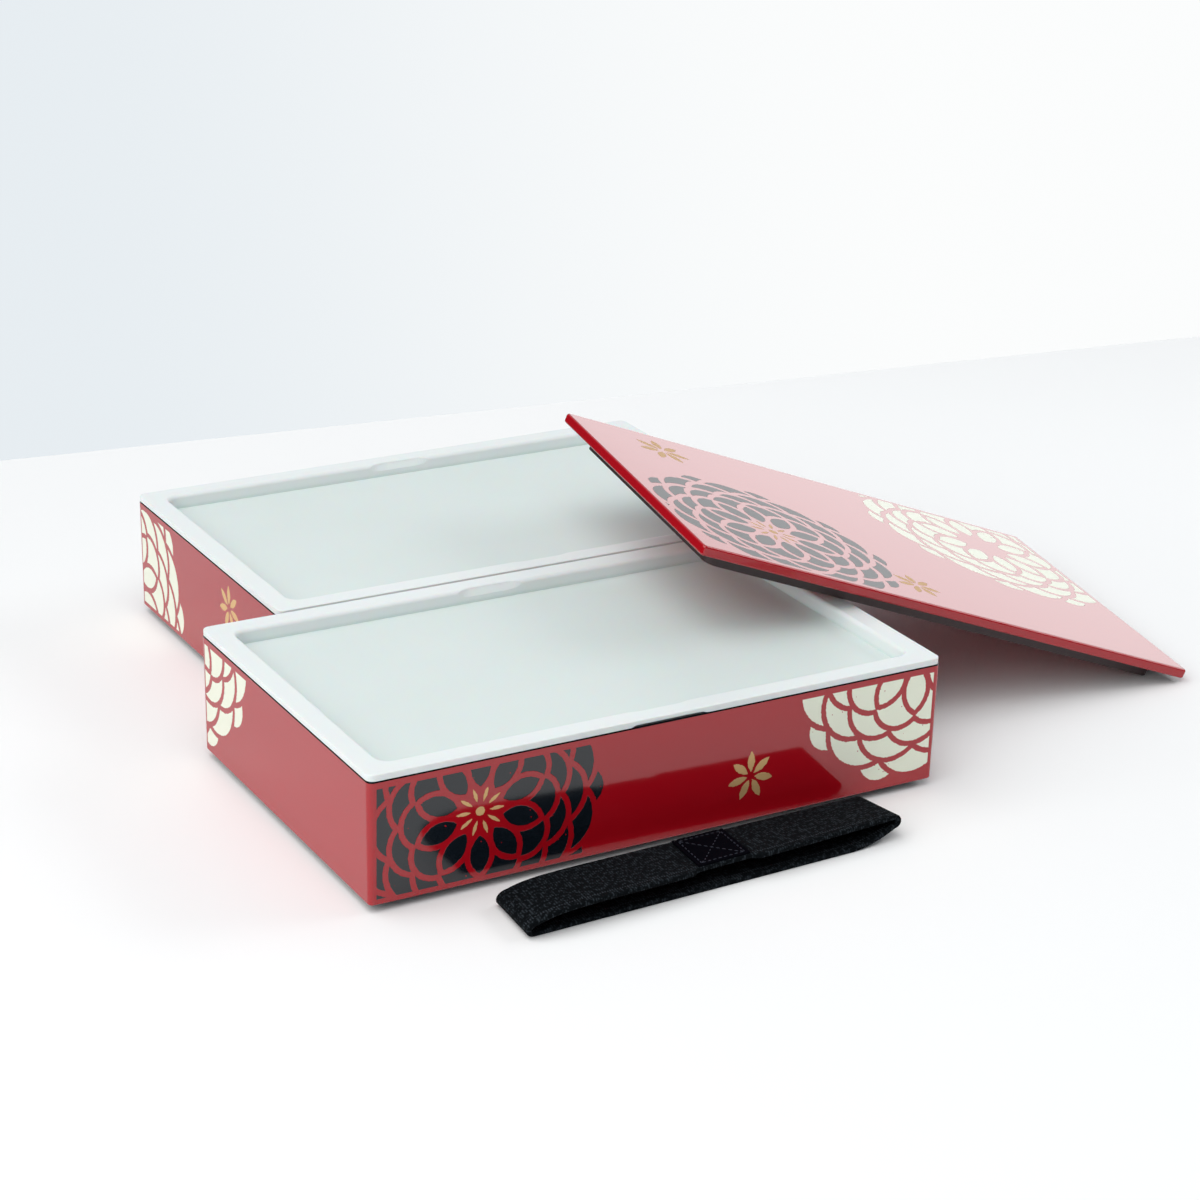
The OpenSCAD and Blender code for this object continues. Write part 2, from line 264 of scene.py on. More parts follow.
@dataclass(frozen=True)
class Finish:
    """Constants of a surface's shader."""

    name: str
    roughness: float
    ior: float = 1.5
    coat: float = 0.0
    coat_roughness: float = 0.03
    sheen: float = 0.0
    subsurface: float = 0.0
    subsurface_reach: float = 4.0

    def shade(self, net: Net, colour: object, roughness: Value | None = None,
              metallic: Value = 0.0, normal: bpy.types.NodeSocket | None = None) -> None:
        """Add the surface's shader and the output.

        Args:
            net: The material's net.
            colour: The base colour or its socket.
            roughness: Roughness that changes over the surface, if it does.
            metallic: Share of metal.
            normal: Socket of the bumped normal, if there is one.
        """
        base = colour if isinstance(colour, bpy.types.NodeSocket) else (*colour, 1.0)
        values = {
            "Base Color": base,
            "Roughness": self.roughness if roughness is None else roughness,
            "Metallic": metallic,
            "IOR": self.ior,
            "Coat Weight": self.coat,
            "Coat Roughness": self.coat_roughness,
            "Sheen Weight": self.sheen,
            "Subsurface Weight": self.subsurface,
            "Subsurface Scale": self.subsurface_reach * MM,
            "Normal": normal,
        }
        shader = net.node("ShaderNodeBsdfPrincipled", {"label": self.name}, values)
        net.node("ShaderNodeOutputMaterial", None, [shader.outputs[0]])


class Ink(Enum):
    """Colours of the prints."""

    WHITE = (0.82, 0.85, 0.70)
    BLACK = (0.005, 0.008, 0.012)
    GOLD = (0.78, 0.51, 0.23)


RED = (0.38, 0.0035, 0.010)
INSIDE_BLACK = (0.008, 0.008, 0.010)
# Black lacquer under the lid's plate, tinted dark red as a painted reflection of the red lid edges and walls.
BLACK_UNDERSIDE_PAINTED_RED_REFLECTION = (0.045, 0.004, 0.006)
RIM_BROWN = (0.030, 0.009, 0.011)
GLOSS = Finish("gloss lacquer", roughness=0.07, ior=1.6)


@dataclass(frozen=True)
class Kiku:
    """A round chrysanthemum of overlapping petal rings, in a plane's own u and v."""

    u: float
    v: float
    radius: float
    ink: Ink
    eye: bool = False
    petals: int = 10
    gap: float = 1.8

    def distance(self, net: Net, u: Num, v: Num) -> tuple[Num, Num | None]:
        """Signed distance to the petals, and to the gold eye where there is one.

        Args:
            net: The material's net.
            u: Place along the plane.
            v: Place up the plane.

        Returns:
            Distance to the petals and distance to the eye, less than nought inside.
        """
        x, y = u - self.u, v - self.v
        reach = net.length(x, y)
        step = math.tau / self.petals
        turn = (net.math("ARCTAN2", y, x) - math.pi / 2) * (1 / step)
        on_petal = self.folded(net, reach, turn + 0.5, step)
        between = self.folded(net, reach, turn, step)
        scale = self.radius / 44
        shape = net.length(between[0] - 38 * scale, between[1]) - 7.0 * scale
        for ring in range(5, 1, -1):
            along, across = on_petal if ring % 2 else between
            tip = (16.9 + 5.15 * ring) * scale
            bulge = (5 + 1.5 * ring) * scale
            petal = net.length(along - (tip - bulge), across) - bulge
            shape = net.smaller(petal, net.larger(shape, self.gap - petal))
        leaf = self.leaf(net, *on_petal, 15.5 * scale, 6.8 * scale, 3.5 * scale)
        shape = net.smaller(leaf, net.larger(shape, self.gap - leaf))
        heart = self.radius * 0.2
        shape = net.larger(shape, heart - reach)
        if not self.eye:
            return shape, None
        dash = self.leaf(net, *between, 6.1 * scale, 2.6 * scale, 0.62 * scale)
        return shape, net.smaller(dash, reach - 1.6 * scale)

    @staticmethod
    def folded(net: Net, reach: Num, turn: Num, step: float) -> tuple[Num, Num]:
        """Place along and across the nearest of the petals that stand round the centre.

        Args:
            net: The material's net.
            reach: Distance from the centre.
            turn: Angle in petal steps, half a step ahead of a petal.
            step: Angle between petals.

        Returns:
            Distance along the petal's axis and distance across it.
        """
        angle = (net.math("FRACT", turn) - 0.5) * step
        return reach * net.math("COSINE", angle), reach * net.math("SINE", angle)

    @staticmethod
    def leaf(net: Net, along: Num, across: Num, middle: float, half_length: float,
             half_width: float) -> Num:
        """Signed distance to a leaf that is pointed at both ends.

        Args:
            net: The material's net.
            along: Distance along the leaf's axis from the flower's centre.
            across: Distance across the axis.
            middle: Where the leaf's middle lies on the axis.
            half_length: Half the leaf's length.
            half_width: Half its width.

        Returns:
            The distance, less than nought inside.
        """
        bend = (half_length ** 2 + half_width ** 2) / (2 * half_width)
        return net.length(along - middle, abs(across) + (bend - half_width)) - bend


@dataclass(frozen=True)
class Floret:
    """A small gold flower of seven loose petals."""

    u: float
    v: float
    radius: float
    petals: int = 7

    def distance(self, net: Net, u: Num, v: Num) -> Num:
        """Signed distance to the petals, less than nought inside."""
        x, y = u - self.u, v - self.v
        reach = net.length(x, y)
        step = math.tau / self.petals
        turn = (net.math("ARCTAN2", y, x) - math.pi / 2) * (1 / step) + 0.5
        axes = Kiku.folded(net, reach, turn, step)
        return Kiku.leaf(net, *axes, 0.59 * self.radius, 0.42 * self.radius, 0.155 * self.radius)


@dataclass(frozen=True)
class Print:
    """The flowers on one plane, and the rectangle that they stop at."""

    flowers: tuple[Kiku | Floret, ...]
    u_limits: tuple[float, float]
    v_limits: tuple[float, float]

    def inks(self, net: Net, u: Num, v: Num, v_local: Num, wobble: Num) -> dict[Ink, Num]:
        """Signed distance to each ink on the plane.

        Args:
            net: The material's net.
            u: Place along the plane.
            v: Place up the plane, as the flowers use it.
            v_local: Place up the plane, as the rectangle uses it.
            wobble: Small noise that roughens the edges.

        Returns:
            The distances by ink, less than nought inside.
        """
        out_u = net.larger(self.u_limits[0] - u, u - self.u_limits[1])
        out_v = net.larger(self.v_limits[0] - v_local, v_local - self.v_limits[1])
        out = net.larger(out_u, out_v)
        found: dict[Ink, Num] = {}
        for flower in self.flowers:
            if isinstance(flower, Kiku):
                petals, eye = flower.distance(net, u, v)
                parts = {flower.ink: petals, Ink.GOLD: eye}
            else:
                parts = {Ink.GOLD: flower.distance(net, u, v)}
            for ink, part in parts.items():
                if part is not None:
                    part = net.larger(part + wobble, out)
                    found[ink] = net.smaller(found[ink], part) if ink in found else part
        return found


class LacquerCoat:
    """Gloss lacquer with printed flowers: builds the material from masks."""

    edge = 0.16

    def __init__(self, name: str, ink_haze: float = 0.03) -> None:
        """Start a material.

        Args:
            name: Its name.
            ink_haze: Roughness that the ink adds to the lacquer's.
        """
        self.ink_haze = ink_haze
        self.gold: Colour = Ink.GOLD.value
        self.gold_shine = 0.6
        self.matte: Num | None = None
        self.material, self.net = new_material(name)
        self.where = self.net.place()
        self.wobble = (self.net.noise(0.9, 3.0) - 0.5) * 0.55
        self.colour: object = RED
        self.relief: Num | None = None
        self.metal: Num | None = None

    def paint(self, ink: Ink, mask: Num) -> None:
        """Lay an ink where a mask is one.

        Args:
            ink: The ink.
            mask: Where it lies.
        """
        net = self.net
        flecks = {Ink.WHITE: (1.7, 0.20, 0.24), Ink.BLACK: (2.3, 0.22, 0.30), Ink.GOLD: (1.3, 0.18, 0.2)}
        covered = mask * (1 - net.specks(*flecks[ink]))
        self.colour = net.mix(covered, self.colour, self.gold if ink is Ink.GOLD else ink.value)
        self.relief = mask if self.relief is None else net.larger(self.relief, mask)
        if ink is Ink.GOLD:
            self.metal = covered if self.metal is None else net.larger(self.metal, covered)

    def print_on(self, design: Print, u: Num, v: Num, v_local: Num, face: Num) -> None:
        """Print a plane's flowers.

        Args:
            design: The flowers and their limits.
            u: Place along the plane.
            v: Place up the plane, as the flowers use it.
            v_local: Place up the plane, as the limits use it.
            face: Mask that is one on the plane that is printed.
        """
        for ink, shape in design.inks(self.net, u, v, v_local, self.wobble).items():
            self.paint(ink, self.net.inside(shape, self.edge) * face)

    def close(self, ink_height: float) -> bpy.types.Material:
        """Add the bump and the shader.

        Args:
            ink_height: Height of the ink over the lacquer in millimetres.

        Returns:
            The finished material.
        """
        net = self.net
        height = (net.noise(26.0, 1.0) - 0.5) * 0.02
        if self.relief is not None:
            height = height + self.relief * ink_height
        bump = net.node("ShaderNodeBump", None, {"Strength": 1.0, "Distance": MM, "Height": height})
        metal = 0.0 if self.metal is None else self.metal
        haze = 0.055 + net.noise(9.0, 3.0) * 0.035 + metal * 0.35
        if self.relief is not None:
            haze = haze + self.relief * self.ink_haze
        if self.matte is not None:
            haze = haze + self.matte * 0.5
        GLOSS.shade(net, self.colour, haze, metal * self.gold_shine, bump.outputs[0])
        return self.material


@dataclass
class Tier:
    """One food tray: red outside with prints, black on its lip and inside."""

    node: str
    stack_level: int
    corner: float = 2.0
    skin: float = 0.7
    wall_top: float = 41.0
    pitch: float = 41.0
    length: float = field(init=False)
    depth: float = field(init=False)
    centre: Vector = field(init=False)

    def __post_init__(self) -> None:
        """Read the tray's size and place from the frame."""
        low, high = (Vector(corner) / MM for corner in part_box(self.node))
        self.length, self.depth = high.x - low.x, high.y - low.y
        self.centre = (low + high) / 2

    def dress(self) -> None:
        """Give the CAD node its lacquer."""
        coat = LacquerCoat(f"lacquer_{self.node}")
        net = coat.net
        x, y, z = coat.where
        x, y = x - self.centre.x, y - self.centre.y
        stack_z = z + self.stack_level * self.pitch
        side_x, side_y = net.math("SIGN", x), net.math("SIGN", y)
        rows = (self.wall_top - 36.6, self.wall_top - 2.0)
        half_length, half_depth = self.length / 2 - 2.5, self.depth / 2 - 2.6
        long_wall = Print(
            flowers=(
                Kiku(-62.2, 25.3, 39.5, Ink.BLACK, eye=True),
                Kiku(88.6, 50.3, 45.0, Ink.WHITE),
                Floret(29.4, 17.3, 8.0),
            ),
            u_limits=(-half_length, half_length), v_limits=rows,
        )
        short_wall = Print(
            flowers=(Kiku(68.9, 50.7, 46.3, Ink.WHITE), Floret(-19.7, 70.6, 8.0)),
            u_limits=(-half_depth, half_depth), v_limits=rows,
        )
        coat.print_on(long_wall, -(x * side_y), stack_z, z, abs(y) > self.depth / 2 - 0.9)
        coat.print_on(short_wall, -(y * side_x), stack_z, z, abs(x) > self.length / 2 - 0.9)
        outside = self.skin_mask(net, x, y) * (z < self.wall_top - 0.02)
        coat.colour = net.mix(outside, INSIDE_BLACK, coat.colour)
        paint_node(self.node, coat.close(0.02))

    def skin_mask(self, net: Net, x: Num, y: Num) -> Num:
        """One on the outer skin of the walls, round the corners too.

        Args:
            net: The material's net.
            x: Place from the tray's centre.
            y: Place from the tray's centre.

        Returns:
            The mask.
        """
        over_x = net.larger(abs(x) - (self.length / 2 - self.corner), 0.0)
        over_y = net.larger(abs(y) - (self.depth / 2 - self.corner), 0.0)
        return net.length(over_x, over_y) > self.corner - self.skin - 0.35


@dataclass
class InnerLid:
    """One soft milky lid, satin on its rim and matte on the floor of its recess."""

    node: str
    milky: Colour = (0.655, 0.725, 0.705)
    rim_milky: Colour = (0.76, 0.80, 0.80)
    finish: Finish = Finish("milky plastic", roughness=0.42, ior=1.46, subsurface=0.25,
                            subsurface_reach=3.0)

    def dress(self) -> None:
        """Give the CAD node its soft plastic."""
        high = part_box(self.node)[1][2] / MM
        material, net = new_material(f"milky_{self.node}")
        z = net.place()[2]
        recess = net.inside(z - (high - 4.0), 1.2)
        cloud = (net.noise(38.0, 2.0) - 0.5) * 0.3
        colour = net.mix(recess * (0.85 + cloud), self.rim_milky, self.milky)
        grain = net.noise(0.7, 2.0) * 0.012 + net.noise(17.0, 1.0) * 0.16
        bump = net.node("ShaderNodeBump", None, {"Strength": 0.5, "Distance": MM, "Height": grain})
        self.finish.shade(net, colour, 0.30 + recess * 0.16, 0.0, bump.outputs[0])
        paint_node(self.node, material)


@dataclass
class TopLid:
    """The flat top lid, which leans on both inner lids: red with prints on its plate."""

    node: str = "top_lid"
    lean_length: float = 126.0
    lean_lead: float = 13.2
    lean_crossing: float = -8.0
    lean_gap: float = 0.1
    recess_inset: float = 7.5
    nest_clearance: float = 0.3
    rim_width: float = 2.4
    rim_height: float = 4.5
    thickness: float = 3.4
    length: float = field(init=False)
    depth: float = field(init=False)

    def __post_init__(self) -> None:
        """Take the plate's size from the tray, which it matches."""
        low, high = (Vector(corner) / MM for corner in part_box("front_tier"))
        self.length, self.depth = high.x - low.x, high.y - low.y

    def seat(self) -> tuple[Vector, Matrix]:
        """Where the plate's underside centre lies, and the axes that it lies along.

        Returns:
            The place in millimetres, and a matrix with the lid's own axes as its rows.
        """
        rim_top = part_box("front_inner_lid")[1][2] / MM
        shift = (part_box("rear_tier")[0][0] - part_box("front_tier")[0][0]) / MM
        inset = self.recess_inset + self.nest_clearance
        span = self.depth - 2 * inset
        touch = span - self.rim_width
        slope = math.asin(rim_top / self.lean_length)
        edge = math.hypot(self.lean_lead, touch)
        bearing = math.acos(shift / edge)
        turn = bearing - math.acos(self.lean_lead / edge / math.cos(slope))
        axis_x = Vector((math.cos(slope) * math.cos(turn), math.cos(slope) * math.sin(turn),
                         -math.sin(slope)))
        edge_line = edge * Vector((math.cos(bearing), math.sin(bearing), 0.0))
        axis_y = (edge_line - self.lean_lead * axis_x) / touch
        axis_z = axis_x.cross(axis_y)
        near = Vector((self.length / 2, self.lean_crossing, rim_top + self.lean_gap))
        near_x = self.length / 2 - inset - self.lean_length
        place = near - near_x * axis_x + span / 2 * axis_y + self.rim_height * axis_z
        return place, Matrix((axis_x, axis_y, axis_z))

    def dress(self) -> None:
        """Give the CAD node its lacquer."""
        coat = LacquerCoat("lacquer_top_lid", ink_haze=0.23)
        coat.gold, coat.gold_shine = (0.66, 0.43, 0.22), 0.25
        net = coat.net
        place, axes = self.seat()
        coords = net.node("ShaderNodeTexCoord").outputs["Object"]
        from_place = net.node("ShaderNodeVectorMath", {"operation": "SUBTRACT"}, [coords, place * MM])
        u, v, up = (
            net.num(net.node("ShaderNodeVectorMath", {"operation": "DOT_PRODUCT"},
                             [from_place.outputs[0], axis]), "Value") * (1 / MM)
            for axis in axes
        )
        plate = Print(
            flowers=(
                Kiku(-53.6, -23.6, 43.8, Ink.BLACK, eye=True, gap=2.3),
                Kiku(65.3, 33.1, 48.5, Ink.WHITE, gap=2.1),
                Floret(-66.3, 43.7, 10.0),
                Floret(-5.8, -42.4, 8.5),
            ),
            u_limits=(3.0 - self.length / 2, self.length / 2 - 2.5),
            v_limits=(2.8 - self.depth / 2, self.depth / 2 - 2.5),
        )
        coat.print_on(plate, u, v, v, up > self.thickness - 0.3)
        # The plate's underside is black lacquer painted dark red: a painted reflection of red light, not its
        # own colour.
        coat.colour = net.mix(up < 0.04, coat.colour, BLACK_UNDERSIDE_PAINTED_RED_REFLECTION)
        coat.colour = net.mix(up < -0.3, coat.colour, RIM_BROWN)
        coat.matte = up < 0.04
        paint_node(self.node, coat.close(0.1))


def paint_node(node: str, material: bpy.types.Material) -> None:
    """Put a material in every slot of a CAD node.

    Args:
        node: The node's name.
        material: The material that it gets.
    """
    piece = bpy.data.objects[node]
    for slot in piece.material_slots:
        slot.link = "OBJECT"
        slot.material = material
    if not piece.material_slots:
        piece.data.materials.append(material)
    log.info("dressed %s with %s", node, material.name)


def piece_from(name: str, mesh: bmesh.types.BMesh, material: bpy.types.Material,
               body: str) -> bpy.types.Object:
    """Make an object of a finished bmesh, and let it ride on a body.

    Args:
        name: The piece's name.
        mesh: Its shape in metres, at its place. It is freed.
        material: Its material.
        body: The CAD body that it moves with.

    Returns:
        The object.
    """
    data = bpy.data.meshes.new(name)
    mesh.to_mesh(data)
    mesh.free()
    data.materials.append(material)
    for polygon in data.polygons:
        polygon.use_smooth = True
    piece = bpy.data.objects.new(name, data)
    bpy.context.scene.collection.objects.link(piece)
    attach(piece, body)
    log.info("built %s with %d faces", name, len(data.polygons))
    return piece


@dataclass(frozen=True)
class LoopEdge:
    """One long edge of the webbing's loop, seen from the side: outer face, lying on z = 0."""

    left: float
    left_height: float
    crest: float
    right: float
    right_height: float
    right_lift: float
    rise_from: float
    sag: float
    ease: float = 6.0

    @property
    def left_radius(self) -> float:
        """Radius of the fold at the left."""
        return self.left_height / 2

    @property
    def right_radius(self) -> float:
        """Radius of the fold at the right."""
        return (self.right_height - self.right_lift) / 2

    def upper(self, x: float) -> float:
        """Height of the upper strap's outer face at a place."""
        start, end = self.left + self.left_radius, self.right - self.right_radius
        t = (x - start) / (end - start)
        swell = (self.crest - self.left_height) * (1 - math.exp(-max(x - start, 0.0) / self.ease))
        fall = (self.right_height - self.crest) * t
        return self.left_height + swell + fall - self.sag * math.sin(math.pi * min(max(t, 0.0), 1.0))

    def lower(self, x: float) -> float:
        """Height of the lower strap's outer face at a place."""
        end = self.right - self.right_radius
        t = max((x - self.rise_from) / (end - self.rise_from), 0.0)
        return self.right_lift * t ** 1.7

    def point(self, share: float) -> tuple[float, float]:
        """Place on the loop at a share of its way round, from the lower left, to the right.

        Args:
            share: From 0 to 1.

        Returns:
            Place along the band and height.
        """
        start, end = self.left + self.left_radius, self.right - self.right_radius
        run = end - start
        legs = (run, math.pi * self.right_radius, run, math.pi * self.left_radius)
        way = (share % 1.0) * sum(legs)
        if way < legs[0]:
            x = start + way
            return x, self.lower(x)
        way -= legs[0]
        if way < legs[1]:
            angle = way / self.right_radius - math.pi / 2
            middle = (self.right_height + self.right_lift) / 2
            return end + self.right_radius * math.cos(angle), middle + self.right_radius * math.sin(angle)
        way -= legs[1]
        if way < legs[2]:
            x = end - way
            return x, self.upper(x)
        angle = (way - legs[2]) / self.left_radius + math.pi / 2
        return start + self.left_radius * math.cos(angle), self.left_radius * (1 + math.sin(angle))

    def girth(self) -> float:
        """Length of the loop."""
        steps = 400
        spots = [Vector(self.point(i / steps)) for i in range(steps + 1)]
        return sum((b - a).length for a, b in zip(spots, spots[1:]))


@dataclass
class ElasticBand:
    """The band: woven elastic sewn into a loop, with a smooth patch over the join."""

    body: str = "band"
    far_y: float = -69.1
    slant: float = 0.035
    lean: float = 0.106
    lean_twist: float = 0.0036
    width: float = 22.0
    thickness: float = 1.5
    near: LoopEdge = LoopEdge(-64.5, 6.0, 8.7, 66.7, 8.3, 4.2, 48.0, 0.6)
    far: LoopEdge = LoopEdge(-63.0, 5.6, 8.2, 67.3, 5.4, 0.6, 55.0, 0.25)
    patch_left: float = -3.8
    patch_length: float = 18.4
    patch_width: float = 20.6
    patch_skew: float = -2.6
    patch_thickness: float = 0.7
    tuck: float = 1.7
    stitch_length: float = 1.5
    stitch_pitch: float = 2.0
    thread: float = 0.42

    def spot(self, share: float, across: float) -> Vector:
        """Place on the webbing's outer face in metres.

        Args:
            share: Share of the way round the loop.
            across: From 0 at the far edge to 1 at the near edge.

        Returns:
            The place.
        """
        far = Vector(self.far.point(share))
        near = Vector(self.near.point(share))
        x, z = far.lerp(near, across)
        return Vector((x, self.side(x, z, across), z)) * MM

    def side(self, x: float, z: float, across: float) -> float:
        """Place across the table, of a place on the loop.

        Args:
            x: Place along the band in millimetres.
            z: Height over the table.
            across: From 0 at the far edge to 1 at the near edge.

        Returns:
            The place in millimetres.
        """
        upper = min(max((z - 4.0) / 2.0, 0.0), 1.0)
        middle = self.patch_left + self.patch_length / 2 + self.patch_skew * across
        outside = max(abs(x - middle) - self.patch_length / 2, 0.0)
        tuck = self.tuck * upper * math.exp(-(outside / 1.6) ** 2) * max(across - 0.8, 0.0) / 0.2
        lean = (self.lean - self.lean_twist * x) * z
        return self.far_y + self.slant * x - self.width * across - lean + tuck

    def build(self) -> None:
        """Build the webbing, the patch and its stitches."""
        webbing = self.webbing()
        patch = self.patch()
        stitches = self.stitches()
        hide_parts("elastic_band")
        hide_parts("band_join_patch")
        girth = (self.near.girth() + self.far.girth()) / 2
        log.info("webbing is %.0f mm round", girth)

    def webbing(self) -> bpy.types.Object:
        """Build the loop of webbing from an open tube.

        Returns:
            The webbing.
        """
        around, across = 260, 12
        mesh = bmesh.new()
        uv = mesh.loops.layers.uv.new("weave")
        bmesh.ops.create_cone(mesh, cap_ends=False, segments=around, radius1=1, radius2=1, depth=2)
        long_edges = [e for e in mesh.edges if abs(e.verts[0].co.z - e.verts[1].co.z) > 1]
        bmesh.ops.subdivide_edges(mesh, edges=long_edges, cuts=across - 1)
        girth = self.near.girth()
        for face in mesh.faces:
            shares = [math.atan2(c.vert.co.y, c.vert.co.x) / math.tau % 1.0 for c in face.loops]
            wraps = max(shares) - min(shares) > 0.5
            for corner, share in zip(face.loops, shares):
                share = share + 1 if wraps and share < 0.5 else share
                corner[uv].uv = (share * girth * MM, (corner.vert.co.z + 1) / 2 * self.width * MM)
        for vert in mesh.verts:
            share = math.atan2(vert.co.y, vert.co.x) / math.tau % 1.0
            vert.co = self.spot(share, (vert.co.z + 1) / 2)
        bmesh.ops.recalc_face_normals(mesh, faces=mesh.faces)
        self.turn_outward(mesh)
        piece = piece_from("woven_band", mesh, self.weave_material(), self.body)
        self.thicken(piece, self.thickness, 0.45)
        return piece

    @staticmethod
    def turn_outward(mesh: bmesh.types.BMesh) -> None:
        """Turn an open loop's faces away from its middle.

        Args:
            mesh: The loop.
        """
        middle = sum((v.co for v in mesh.verts), Vector()) / len(mesh.verts)
        outward = sum((f.normal.z * (f.calc_center_median().z - middle.z) for f in mesh.faces))
        if outward < 0:
            bmesh.ops.reverse_faces(mesh, faces=mesh.faces)

    @staticmethod
    def thicken(piece: bpy.types.Object, thickness: float, round_by: float) -> None:
        """Give a sheet its thickness, inward, and round its cut edges.

        Args:
            piece: The sheet.
            thickness: In millimetres.
            round_by: Width of the rounding in millimetres.
        """
        solid = piece.modifiers.new("thickness", "SOLIDIFY")
        solid.thickness = thickness * MM
        solid.offset = -1.0
        solid.use_even_offset = True
        bevel = piece.modifiers.new("selvedge", "BEVEL")
        bevel.width = round_by * MM
        bevel.segments = 2
        bevel.limit_method = "ANGLE"
        bevel.angle_limit = math.radians(50)

    def on_upper(self, x: float, across: float, lift: float) -> Vector:
        """Place on top of the upper strap in metres.

        Args:
            x: Place along the far edge in millimetres.
            across: From 0 at the patch's far edge to 1 at its near edge.
            lift: Height over the webbing's outer face in millimetres.

        Returns:
            The place.
        """
        across = 0.5 + (across - 0.5) * self.patch_width / self.width - 0.008
        x = x + self.patch_skew * across
        z = self.far.upper(x) * (1 - across) + self.near.upper(x) * across
        return Vector((x, self.side(x, z, across), z + lift)) * MM

    def patch(self) -> bpy.types.Object:
        """Build the smooth tape that is sewn over the join.

        Returns:
            The patch.
        """
        mesh = bmesh.new()
        uv = mesh.loops.layers.uv.new("weave")
        bmesh.ops.create_grid(mesh, x_segments=24, y_segments=26, size=1)
        for face in mesh.faces:
            for corner in face.loops:
                along, across = (corner.vert.co.x + 1) / 2, (1 - corner.vert.co.y) / 2
                corner[uv].uv = (along * self.patch_length * MM, across * self.patch_width * MM)
        for vert in mesh.verts:
            along, across = (vert.co.x + 1) / 2, (1 - vert.co.y) / 2
            edge = min(along, 1 - along) * self.patch_length
            pressed = 0.22 * math.exp(-((edge - 1.6) / 0.6) ** 2)
            lift = self.patch_thickness - 0.06 - pressed
            vert.co = self.on_upper(self.patch_left + along * self.patch_length, across, lift)
        bmesh.ops.recalc_face_normals(mesh, faces=mesh.faces)
        if sum(f.normal.z for f in mesh.faces) < 0:
            bmesh.ops.reverse_faces(mesh, faces=mesh.faces)
        piece = piece_from("band_patch", mesh, self.tape_material(), self.body)
        self.thicken(piece, self.patch_thickness, 0.25)
        return piece

    def stitches(self) -> bpy.types.Object:
        """Sew a box and a cross through the patch with short rounded stitches.

        Returns:
            The stitches.
        """
        inset_x, inset_y = 1.6 / self.patch_length, 1.8 / self.patch_width
        left, right, far, near = inset_x, 1 - inset_x, inset_y, 1 - inset_y
        corners = {"fl": (left, far), "fr": (right, far), "nr": (right, near), "nl": (left, near)}
        seams = [("fl", "fr"), ("fr", "nr"), ("nr", "nl"), ("nl", "fl"), ("fl", "nr"), ("nl", "fr")]
        mesh = bmesh.new()
        for start, end in seams:
            self.seam(mesh, corners[start], corners[end])
        return piece_from("patch_stitches", mesh, self.thread_material(), self.body)

    def seam(self, mesh: bmesh.types.BMesh, start: tuple[float, float],
             end: tuple[float, float]) -> None:
        """Add one row of stitches.

        Args:
            mesh: The mesh that gets them.
            start: Share along and across the patch where the row starts.
            end: Share along and across the patch where the row ends.
        """
        size = Vector((self.patch_length, self.patch_width))
        run = Vector([(b - a) * s for a, b, s in zip(start, end, size)]).length
        count = max(1, round(run / self.stitch_pitch))
        for index in range(count):
            middle = Vector(start).lerp(Vector(end), (index + 0.5) / count)
            ahead = Vector(start).lerp(Vector(end), (index + 0.6) / count)
            here, there = (
                self.on_upper(self.patch_left + spot.x * self.patch_length, spot.y,
                              self.patch_thickness - 0.12)
                for spot in (middle, ahead)
            )
            turn = (there - here).to_track_quat("X", "Z").to_matrix().to_4x4()
            shape = Matrix.Diagonal((self.stitch_length / 2, self.thread / 2, self.thread / 2, 1 / MM))
            place = Matrix.Translation(here) @ turn @ (shape * MM)
            bmesh.ops.create_uvsphere(mesh, u_segments=6, v_segments=6, radius=1, matrix=place)

    def weave_material(self) -> bpy.types.Material:
        """Ribbed elastic weave that follows the webbing.

        Returns:
            The material.
        """
        material, net = new_material("ribbed_webbing")
        along, across = self.weave_place(net)
        wander = net.noise(1.6, 2.0) * 2.2
        ribs = net.math("SINE", along * (math.tau / 0.85) + wander)
        rows = net.math("SINE", across * (math.tau / 1.15) + wander)
        knit = ribs * 0.5 + rows * ribs * 0.35
        heather = net.noise(1.1, 3.0)
        seam = net.inside(abs(across - (self.width - 2.6)) - 0.2, 0.25)
        fibre = net.inside(0.54 - heather, 0.08) * (0.55 + ribs * 0.45)
        colour = net.mix(fibre, (0.002, 0.003, 0.004), (0.024, 0.030, 0.036))
        colour = net.mix(seam * (ribs > 0.0), colour, (0.034, 0.040, 0.048))
        height = knit * 0.06 + heather * 0.12 - seam * 0.08
        bump = net.node("ShaderNodeBump", None, {"Strength": 0.8, "Distance": MM, "Height": height})
        Finish("webbing", roughness=0.9, ior=1.14).shade(net, colour, None, 0.0, bump.outputs[0])
        return material

    def tape_material(self) -> bpy.types.Material:
        """Close, smooth tape.

        Returns:
            The material.
        """
        material, net = new_material("smooth_tape")
        along, across = self.weave_place(net)
        rows = net.math("SINE", across * (math.tau / 0.5)) * net.math("SINE", along * (math.tau / 0.5))
        colour = net.mix(net.noise(1.5, 3.0), (0.0008, 0.0008, 0.002), (0.002, 0.002, 0.004))
        height = rows * 0.02 + net.noise(4.0, 2.0) * 0.15
        bump = net.node("ShaderNodeBump", None, {"Strength": 0.6, "Distance": MM, "Height": height})
        Finish("tape", roughness=0.9, ior=1.08).shade(net, colour, None, 0.0, bump.outputs[0])
        return material

    @staticmethod
    def thread_material() -> bpy.types.Material:
        """Twisted black thread.

        Returns:
            The material.
        """
        material, net = new_material("sewing_thread")
        x, y, _ = net.place()
        twist = net.math("SINE", (x + y) * (math.tau / 0.35))
        colour = net.mix(twist * 0.5 + 0.5, (0.008, 0.010, 0.018), (0.030, 0.036, 0.052))
        bump = net.node("ShaderNodeBump", None, {"Strength": 0.5, "Distance": MM, "Height": twist * 0.04})
        Finish("thread", roughness=0.55, ior=1.3).shade(net, colour, None, 0.0, bump.outputs[0])
        return material

